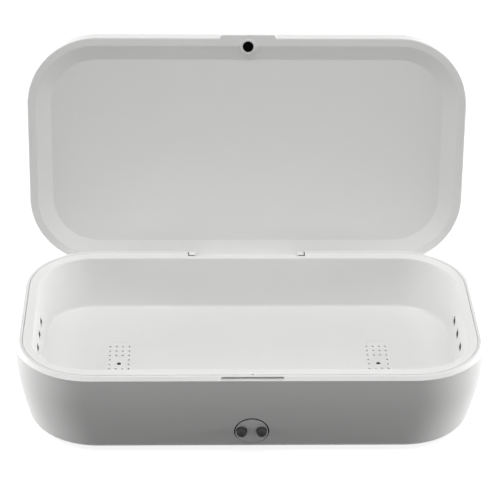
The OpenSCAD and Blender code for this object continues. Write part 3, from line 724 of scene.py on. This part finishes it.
# %% The ring, swept by Geometry Nodes
sweep, given = new_tree("rubber_ring", {"PathWidth": 0.192, "PathDepth": 0.0932,
                                        "CornerRadius": 0.022, "RingWidth": 0.004,
                                        "RingHeight": 0.0018, "EdgeRound": 0.0004})
path = add(sweep, "GeometryNodeCurvePrimitiveQuadrilateral",
           {"Width": given["PathWidth"], "Height": given["PathDepth"]})
bend = add(sweep, "GeometryNodeFilletCurve", {"Curve": path.outputs[0], "Count": 24,
                                              "Radius": given["CornerRadius"]}, mode="POLY")
section = add(sweep, "GeometryNodeCurvePrimitiveQuadrilateral",
              {"Width": given["RingWidth"], "Height": given["RingHeight"]})
eased_section = add(sweep, "GeometryNodeFilletCurve", {"Curve": section.outputs[0], "Count": 4,
                                                       "Radius": given["EdgeRound"]}, mode="POLY")
band = add(sweep, "GeometryNodeCurveToMesh", {"Curve": bend.outputs[0],
                                              "Profile Curve": eased_section.outputs[0]})
close_tree(sweep, band.outputs[0], given)
ring = move(grow("foot_ring", sweep, PathWidth=(base_w - 28) * MM, PathDepth=(base_d - 28) * MM),
            Matrix.Translation((0, 0, 0.9)))
print("ring's top at", round(max(v.co.z for v in ring.data.vertices) / MM, 2), "mm")

# %% [markdown]
# ## Screws, by Geometry Nodes
#
# Ten small screws hold the box together. They are all one screw at three
# sizes, so one tree makes the head, its cross recess and its shank, and puts
# it on every point it is given.

# %% The screw tree
screws, given = new_tree("cross_screws", {"HeadRadius": 0.0024, "HeadHeight": 0.001,
                                          "ShankRadius": 0.0012, "Length": 0.008, "Up": 1.0})
head = add(screws, "GeometryNodeMeshUVSphere", {"Segments": 32, "Rings": 16,
                                                "Radius": given["HeadRadius"]})
flat = calc(screws, "DIVIDE", given["HeadHeight"], given["HeadRadius"])
squash = add(screws, "ShaderNodeCombineXYZ", {"X": 1.0, "Y": 1.0, "Z": flat})
domed = add(screws, "GeometryNodeTransform", {"Geometry": head.outputs[0],
                                              "Scale": squash.outputs[0]})
arm_l = calc(screws, "MULTIPLY", given["HeadRadius"], 1.3)
arm_w = calc(screws, "MULTIPLY", given["HeadRadius"], 0.3)
lift = add(screws, "ShaderNodeCombineXYZ", {"Z": given["HeadHeight"]})
cross = add(screws, "GeometryNodeJoinGeometry")
for long_x, long_y in ((arm_l, arm_w), (arm_w, arm_l)):
    size = add(screws, "ShaderNodeCombineXYZ", {"X": long_x, "Y": long_y,
                                                "Z": given["HeadHeight"]})
    bar = add(screws, "GeometryNodeMeshCube", {"Size": size.outputs[0]})
    high_bar = add(screws, "GeometryNodeTransform", {"Geometry": bar.outputs[0],
                                                     "Translation": lift.outputs[0]})
    screws.links.new(high_bar.outputs[0], cross.inputs[0])
driven = add(screws, "GeometryNodeMeshBoolean", {"Mesh 1": domed.outputs[0]},
             operation="DIFFERENCE", solver="EXACT")
screws.links.new(cross.outputs[0], driven.inputs["Mesh 2"])
shank = add(screws, "GeometryNodeMeshCylinder", {"Vertices": 24, "Radius": given["ShankRadius"],
                                                 "Depth": given["Length"]})
half_down = calc(screws, "MULTIPLY", given["Length"], -0.5)
sink_by = add(screws, "ShaderNodeCombineXYZ", {"Z": half_down})
sunk = add(screws, "GeometryNodeTransform", {"Geometry": shank.outputs["Mesh"],
                                             "Translation": sink_by.outputs[0]})
whole = add(screws, "GeometryNodeJoinGeometry")
for part in (driven, sunk):
    screws.links.new(part.outputs[0], whole.inputs[0])
turn_over = calc(screws, "MULTIPLY_ADD", given["Up"], -math.pi / 2, math.pi / 2)
turned = add(screws, "ShaderNodeCombineXYZ", {"X": turn_over})
each = add(screws, "GeometryNodeInstanceOnPoints", {"Points": given["Geometry"],
                                                    "Instance": whole.outputs[0],
                                                    "Rotation": turned.outputs[0]})
close_tree(screws, each.outputs[0], given)

# %% Put the screws in
cover_screws = grow("screws_cover", screws,
                    [(sx * cover_screw[0], sy * cover_screw[1], foot + 1.2) for sx, sy in FOUR],
                    Up=-1.0)
board_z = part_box("main_board")[0].z / MM
board_screws = grow("screws_board", screws,
                    [(sx * board_screw[0], sy * board_screw[1], board_z) for sx, sy in FOUR],
                    HeadRadius=0.0021, HeadHeight=0.0014, Length=0.0045, Up=-1.0)
low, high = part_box("bracket_screws")
mid_y = (low.y + high.y) / 2 / MM
bracket_screws = grow("screws_bracket", screws,
                      [(s * 32.8, mid_y, high.z / MM - 1.4) for s in (-1, 1)],
                      HeadRadius=0.002, HeadHeight=0.0014, Length=0.007)
print("screws:", [len(s.data.polygons) for s in (cover_screws, board_screws, bracket_screws)])

# %% [markdown]
# ## Hinge, inlet and lamps
#
# The small hard parts. Two posts of the bracket hold a steel pin at the ends
# of the lid's arm. For parts that are plain blocks in the CAD, a copy of the
# CAD mesh with its edges eased is the honest shape, because a real edge
# always has a small radius that catches light.

# %% Copies with eased edges
def eased(node, name, width):
    """A copy of a CAD node, welded, with its edges bevelled by width mm."""
    bm = bmesh.new()
    bm.from_mesh(nodes[node].data)
    bmesh.ops.remove_doubles(bm, verts=bm.verts, dist=2e-6)
    bmesh.ops.dissolve_limit(bm, angle_limit=math.radians(1), verts=bm.verts, edges=bm.edges)
    mesh = bpy.data.meshes.new(name)
    bm.to_mesh(mesh)
    bm.free()
    mesh.shade_smooth()
    obj = put(name, mesh)
    ease(obj, width, 2)
    obj.data.set_sharp_from_angle(angle=math.radians(50))
    return obj


bracket = eased("hinge_bracket", "hinge_posts", 0.25)
chips = eased("board_chips", "chips", 0.15)
switches = eased("button_switches", "switches", 0.2)
sensor = eased("lid_sensor", "sensor", 0.2)
print("eased copies:", [len(o.data.polygons) for o in (bracket, chips, switches, sensor)])

# %% Dark strips in the gap round each hinge post, painted shade for the gap's shadow
painted_shades = []
for side in (-1, 1):
    for x, y, sink in (((28.95, 29.35), (hinge.y - 3.35, hinge.y + 1.5), 0.5),
                       ((26.0, 28.95), (hinge.y - 3.35, hinge.y - 2.35), 0.1)):
        x = sorted(side * edge for edge in x)
        painted_shades.append(block(x, y, (rim_z - 6, rim_z - sink), "hinge_gap_painted_shade"))
painted_shades = join(*painted_shades)
ease(painted_shades, 0.08, 2)
print("hinge seals:", len(painted_shades.data.polygons), "faces")

# %% Pin, inlet and lamps
pin_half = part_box("hinge_pin")[1].x / MM
along_x = Matrix.Translation(hinge) @ Matrix.Rotation(math.pi / 2, 4, "Y")
pin = lathe("pin", soften([(0, -pin_half, 0), (1.25, -pin_half, 0.3), (1.25, pin_half, 0.3),
                           (0, pin_half, 0)], 3), along_x, 32)
low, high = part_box("power_inlet")
to_inlet = (Matrix.Translation((0, high.y / MM, inlet_z)) @ Matrix.Rotation(math.pi / 2, 4, "X"))
tube = [(4.45, 1.6, 7.4), (4.45, 1.6, 0.1), (4.38, 1.53, 0), (4.2, 1.35, 0), (4.13, 1.28, 0.1),
        (4.13, 1.28, 6.4)]
inlet = stack("inlet", [plan(w, d, d - 0.01, z, corner=10, along=4) for w, d, z in tube],
              place=to_inlet)
tongue = stack("tongue", [plan(3.15 - i, 0.4 - i, 0.08, z, corner=3, along=2)
                          for i, z in ((0, 6.6), (0, 0.9), (0.12, 0.75))], place=to_inlet)
lamp_in = [(0, -1), (2.8, -1), (2.8, 0), (2.3, 0), (2.3, 0.5)]
lamp_in += [(2.3 * math.cos(math.radians(a)), 2.3 * math.sin(math.radians(a)))
            for a in (13, 25, 37, 49, 60, 70, 80)] + [(0, 2.3)]
side_lamps = {}
for side, label in SIDES:
    x = 102 + 1.6 - 2.5 * 13.4 / 26.9 + 0.26
    made = []
    for y in (-12, 0, 12):
        at = (Matrix.Translation((side * x, y, rim_z - 13.4))
              @ Matrix.Rotation(-side * math.pi / 2, 4, "Y"))
        made.append(lathe("lamp", lamp_in, at, 40))
    side_lamps[label] = join(*made)
    side_lamps[label].name = "end_lamps_" + label
floor_lamps = {}
for side, label in SIDES:
    low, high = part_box("floor_lamp_" + label)
    at = Matrix.Translation((side * vent_x, window_y, low.z / MM))
    body = stack("lamp", [plan(1.75 - i, 1.75 - i, 0.3, z, corner=4, along=2)
                          for i, z in ((0, 0), (0, 1.25), (0.15, 1.4))], place=at)
    lens = lathe("lens", [(1.0, 1.3)] + [(math.cos(math.radians(a)), 1.4 + math.sin(math.radians(a)))
                                         for a in (0, 15, 30, 45, 60, 75)] + [(0, 2.4)], at, 32)
    floor_lamps[label] = (body, lens)
    body.name, lens.name = "floor_lamp_body_" + label, "floor_lamp_lens_" + label
print("pin, inlet and 8 lamps made")

# %% [markdown]
# ## Finishes
#
# Nearly everything here is white ABS from two kinds of mould: the outside
# parts from a polished one, the tray and the lid's lining from one with a
# fine satin grain. A material starts from that, gets the colour as it is
# written, and then the small unevenness that makes it look moulded and not
# painted: colour that drifts over some centimetres, gloss that varies, edges
# that have been handled, and a grain in the bump.

# %% Colour and the moulded finish
def linear(code):
    """#RRGGBB to the linear colour that Blender's sockets want."""
    parts = [int(code[i:i + 2], 16) / 255 for i in (1, 3, 5)]
    return [p / 12.92 if p <= 0.04045 else ((p + 0.055) / 1.055) ** 2.4 for p in parts] + [1.0]


def new_finish(name):
    """A material, its empty tree and the object's own coordinates."""
    finish = bpy.data.materials.new(name)
    finish.use_nodes = True
    finish.node_tree.nodes.clear()
    return finish, finish.node_tree, add(finish.node_tree, "ShaderNodeTexCoord").outputs["Object"]


def noise(tree, place, size, detail, **more):
    """A noise whose pattern is size mm wide."""
    return add(tree, "ShaderNodeTexNoise", {"Vector": place, "Scale": 1 / (size * MM),
                                            "Detail": detail, **more}).outputs[0]


def mixed(tree, share, dark, light):
    """One colour going over into another; each is a code or a socket."""
    dark, light = (linear(c) if isinstance(c, str) else c for c in (dark, light))
    return add(tree, "ShaderNodeMix", {0: share, 6: dark, 7: light}, data_type="RGBA").outputs[2]


def surface(tree, inputs):
    """Ends a material with the Principled shader."""
    shader = add(tree, "ShaderNodeBsdfPrincipled", inputs)
    add(tree, "ShaderNodeOutputMaterial", {"Surface": shader.outputs[0]})


def moulded(name, light, dark, rough, grain, height, ior=1.53, specular=0.5):
    """A moulded surface. grain is the pattern's size and height its depth,
    both in millimetres; light and dark are its two colours."""
    finish, tree, place = new_finish(name)
    slow = noise(tree, place, 35.0, 3.0, Roughness=0.55)
    fine = noise(tree, place, grain, 4.0, Roughness=0.6)
    colour = mixed(tree, slow, dark, light)
    # Handled edges: the mesh's own convex edges, a little paler and duller
    shape = add(tree, "ShaderNodeNewGeometry")
    worn = add(tree, "ShaderNodeMapRange", {"Value": shape.outputs["Pointiness"],
                                            "From Min": 0.52, "From Max": 0.60, "To Max": 0.35})
    patchy = calc(tree, "MULTIPLY", worn.outputs[0], fine)
    dull = add(tree, "ShaderNodeMapRange", {"Value": slow, "From Min": 0.3,
                                            "From Max": 0.7, "To Min": rough - 0.05,
                                            "To Max": rough + 0.05})
    dull_edge = calc(tree, "MULTIPLY_ADD", patchy, 0.25, dull.outputs[0])
    bump = add(tree, "ShaderNodeBump", {"Height": fine, "Strength": 1.0,
                                        "Distance": height * MM})
    surface(tree, {"Base Color": mixed(tree, patchy, colour, light), "Roughness": dull_edge,
                   "Normal": bump.outputs[0], "IOR": ior, "Specular IOR Level": specular})
    return finish


# %% [markdown]
# The grain of a satin mould is about a tenth of a millimetre, which is far
# less than a pixel here, so it is drawn at just under a millimetre and very
# shallow. Polished ABS keeps only a faint waviness, like orange peel.

# %% The plastics and rubbers
polished_abs = moulded("polished_white_abs", "#EFEFEE", "#EBEBEA", 0.34, 2.4, 0.004)
satin_abs = moulded("satin_white_abs", "#F2F2F1", "#EEEEED", 0.50, 0.9, 0.005)
# The lid's lining is the tray's satin white made paler. This is painted light: it lifts the lid's
# face, standing in for light that the lamps don't give it.
lid_abs_painted_lighter = moulded("satin_white_abs_lid_painted_lighter", "#F9F9F8", "#F6F6F5", 0.45, 0.9, 0.005)
cover_abs = moulded("satin_white_abs_underside", "#EAEAE9", "#E4E4E3", 0.55, 0.9, 0.008)
acetal = moulded("white_acetal", "#F3F3F0", "#EFEFEC", 0.38, 1.2, 0.003, ior=1.48)
cap_abs = moulded("dark_grey_abs_caps", "#404041", "#3A3A3B", 0.55, 0.6, 0.003, specular=0.15)
# The bumper's black silicone. The same near-black also colours the dark strips in the insert's gap
# and round the hinge posts, which are painted shade.
stop_rubber_and_painted_shade = moulded("black_silicone_stop_and_gap_shade", "#060606", "#030303", 0.85, 0.5, 0.004, specular=0.03)
foot_rubber = moulded("grey_tpe_ring", "#3A3A3B", "#303031", 0.80, 0.7, 0.010, specular=0.3)
black_epoxy = moulded("black_epoxy_chips", "#1C1C1D", "#141415", 0.55, 0.5, 0.006)
black_nylon = moulded("black_nylon_switch", "#242425", "#1C1C1D", 0.60, 0.5, 0.005)
lamp_body = moulded("white_ceramic_lamp", "#E8E6E0", "#DEDCD6", 0.45, 0.5, 0.003)
smoked_lens = moulded("smoked_quartz_lens", "#141518", "#0E0F12", 0.12, 1.0, 0.0006, ior=1.46)
print("moulded finishes:", len([m for m in bpy.data.materials if m.use_nodes]))

# %% [markdown]
# Metals, the circuit boards and the flat cables lie inside, where they show
# only through the slots or in the model's other views, but each still gets
# its own finish: brushed steel for pin and screws, nickel for the magnet,
# solder mask over thin copper tracks, and grey PVC with one ridge per wire.

# %% Metals
def metal(name, light, dark, rough, grain, stretch=12.0):
    """A drawn or plated metal, its fine lines running along X."""
    finish, tree, place = new_finish(name)
    long_way = add(tree, "ShaderNodeMapping", {"Vector": place,
                                               "Scale": (1 / stretch, 1.0, 1.0)})
    lines = noise(tree, long_way.outputs[0], grain, 5.0)
    dull = add(tree, "ShaderNodeMapRange", {"Value": lines, "To Min": rough - 0.08,
                                            "To Max": rough + 0.1})
    bump = add(tree, "ShaderNodeBump", {"Height": lines, "Strength": 0.6,
                                        "Distance": 0.004 * MM})
    surface(tree, {"Base Color": mixed(tree, lines, dark, light),
                   "Roughness": dull.outputs[0], "Normal": bump.outputs[0], "Metallic": 1.0})
    return finish


steel = metal("brushed_steel", "#C4C4C2", "#9C9C9A", 0.32, 0.3)
nickel = metal("nickel_plate", "#C9C5BC", "#B4B0A8", 0.22, 0.6, 1.0)

# %% Board and cable
def striped(name, light, dark, pitch, ridge, rough, across="X"):
    """A surface with straight ridges or tracks, one every pitch mm."""
    finish, tree, place = new_finish(name)
    bands = add(tree, "ShaderNodeTexWave", {"Vector": place, "Scale": math.pi / 10 / (pitch * MM),
                                            "Distortion": 0.4, "Detail": 1.0},
                bands_direction=across)
    speck = noise(tree, place, 0.8, 3.0)
    both = calc(tree, "MULTIPLY", bands.outputs[1], speck)
    dull = add(tree, "ShaderNodeMapRange", {"Value": speck, "To Min": rough - 0.06,
                                            "To Max": rough + 0.06})
    bump = add(tree, "ShaderNodeBump", {"Height": bands.outputs[1], "Strength": 0.8,
                                        "Distance": ridge * MM})
    surface(tree, {"Base Color": mixed(tree, both, dark, light), "Roughness": dull.outputs[0],
                   "Normal": bump.outputs[0], "IOR": 1.5})
    return finish


solder_mask = striped("green_solder_mask", "#2F7A45", "#1B5230", 1.27, 0.02, 0.35)
ribbon_pvc = striped("grey_pvc_ribbon", "#C2C2C4", "#8E8E92", 1.0, 0.15, 0.5, across="Y")
print("materials:", len(bpy.data.materials))

# %% [markdown]
# ## Every piece to its body
#
# Each new piece says which CAD node it stands for, which body carries it and
# what it is made of. CAD nodes that were right as they are keep their shape
# and only get the finish.

# %% Hand the pieces over
def hand_over(piece, body, finish, slot, *stands_for):
    piece.data.materials.clear()
    piece.data.materials.append(finish)
    piece.data.polygons.foreach_set("material_index", [0] * len(piece.data.polygons))
    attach(piece, body)
    if stands_for:
        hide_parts(*stands_for)


for job in [
        (shell, "base", polished_abs, "white_shell", "outer_shell"),
        (tray, "base", satin_abs, "white_tray", "inner_tray"),
        (tray_lines, "base", satin_abs, "white_tray"),
        (panes, "base", smoked_lens, "lamp_parts"),
        (insert, "base", polished_abs, "white_shell", "button_insert"),
        # The insert's dark gap strip is painted shade.
        (insert_painted_shade, "base", stop_rubber_and_painted_shade, "dark_rubber"),
        *[(caps[label], label, cap_abs, "grey_buttons", label) for label in caps],
        (panel, "lid", lid_abs_painted_lighter, "white_tray", "lid_panel"),
        (lid_outer, "lid", polished_abs, "white_shell", "lid_cover"),
        (bumper, "lid", stop_rubber_and_painted_shade, "dark_rubber", "lid_bumper"),
        (cover, "base", cover_abs, "white_cover", "bottom_cover"),
        (ring, "base", foot_rubber, "dark_rubber", "rubber_ring"),
        (cover_screws, "base", steel, "steel", "cover_screws"),
        (board_screws, "base", steel, "steel", "board_screws"),
        (bracket_screws, "base", steel, "steel", "bracket_screws"),
        (bracket, "base", acetal, "bracket", "hinge_bracket"),
        (pin, "base", steel, "steel", "hinge_pin"),
        # The dark strips round the hinge posts are painted shade for the gaps' shadow.
        (painted_shades, "base", stop_rubber_and_painted_shade, "dark_rubber"),
        (inlet, "base", steel, "steel", "power_inlet"),
        (tongue, "base", black_nylon, "black_parts"),
        (chips, "base", black_epoxy, "black_parts", "board_chips"),
        (switches, "base", black_nylon, "black_parts", "button_switches"),
        (sensor, "base", black_epoxy, "black_parts", "lid_sensor")]:
    hand_over(*job)
for _, label in SIDES:
    hand_over(side_lamps[label], "base", smoked_lens, "lamp_parts", "side_lamps_" + label)
    body, lens = floor_lamps[label]
    hand_over(body, "base", lamp_body, "lamp_parts", "floor_lamp_" + label)
    hand_over(lens, "base", smoked_lens, "lamp_parts")

# %% CAD nodes that keep their shape
boards = ["main_board"] + [kind + label for kind in ("floor_lamp_board_", "side_lamp_board_")
                           for _, label in SIDES]
for name, finish in [*[(board, solder_mask) for board in boards], ("ribbon_cables", ribbon_pvc),
                     ("lid_magnet", nickel)]:
    kept_mesh = nodes[name].data
    kept_mesh.materials.clear()
    kept_mesh.materials.append(finish)

# %% [markdown]
# ## Floor and light
#
# The photo was taken in a white tent: soft light from above, soft light from
# both sides and from behind, and next to nothing in front, so the front wall
# falls to a mid grey while the rim stays white. The floor looks white to the
# camera and still takes the box's soft shadow.

# %% The floor
def seen(tree):
    """1 where the camera looks, directly or through a reflection or a clear part."""
    ray = add(tree, "ShaderNodeLightPath").outputs
    mirrored = calc(tree, "MAXIMUM", ray["Is Camera Ray"], ray["Is Glossy Ray"])
    return calc(tree, "MAXIMUM", mirrored, ray["Is Transmission Ray"])


floor_mesh = bpy.data.meshes.new("floor")
floor_mesh.from_pydata([(-4, -4, 0), (4, -4, 0), (4, 4, 0), (-4, 4, 0)], [], [(0, 1, 2, 3)])
floor = put("floor", floor_mesh)
paper, tree, _ = new_finish("white_paper_floor")
glow = add(tree, "ShaderNodeEmission", {"Color": (1, 1, 1, 1), "Strength": 0.86})
lit = add(tree, "ShaderNodeBsdfDiffuse", {"Color": linear("#9A9A9A")})
bright = add(tree, "ShaderNodeAddShader", {0: glow.outputs[0], 1: lit.outputs[0]})
bounce = add(tree, "ShaderNodeBsdfDiffuse", {"Color": linear("#7F7F7F")})
either = add(tree, "ShaderNodeMixShader", {0: seen(tree), 1: bounce.outputs[0],
                                           2: bright.outputs[0]})
add(tree, "ShaderNodeOutputMaterial", {"Surface": either.outputs[0]})
floor_mesh.materials.append(paper)

# %% The room's own light, white where it is seen
world = bpy.data.worlds.new("tent")
bpy.context.scene.world = world
world.use_nodes = True
tree = world.node_tree
tree.nodes.clear()
strength = add(tree, "ShaderNodeMapRange", {"Value": seen(tree), "To Min": 0.01, "To Max": 1.0})
air = add(tree, "ShaderNodeBackground", {"Color": (1, 1, 1, 1), "Strength": strength.outputs[0]})
add(tree, "ShaderNodeOutputWorld", {"Surface": air.outputs[0]})

# %% The lamps
def lamp(name, where, target, size, power):
    """A soft rectangular lamp that looks at the target."""
    light = bpy.data.lights.new(name, "AREA")
    light.shape, light.size, light.size_y, light.energy = "RECTANGLE", size[0], size[1], power
    away = Vector(where) - Vector(target)
    put(name, light).matrix_world = (Matrix.Translation(where)
                                     @ away.to_track_quat("Z", "Y").to_matrix().to_4x4())


middle = (0, 0, 0.03)
lamp("above", (0, -0.35, 1.35), middle, (1.6, 0.35), 11.0)
lamp("front", (0, -1.3, 0.6), middle, (1.6, 0.6), 0.35)
for name, side, high, low, back in (("left", -1, 2.2, 8.0, 8.0), ("right", 1, 2.2, 10.0, 8.5)):
    lamp(name + "_high", (side * 1.1, 0, 0.9), middle, (0.8, 0.6), high)
    lamp(name + "_low", (side * 1.3, 0, 0.15), middle, (0.8, 0.26), low)
    lamp(name + "_back", (side * 1.0, 0.8, 0.4), middle, (0.8, 0.5), back)
bpy.context.scene.view_settings.view_transform = "Standard"
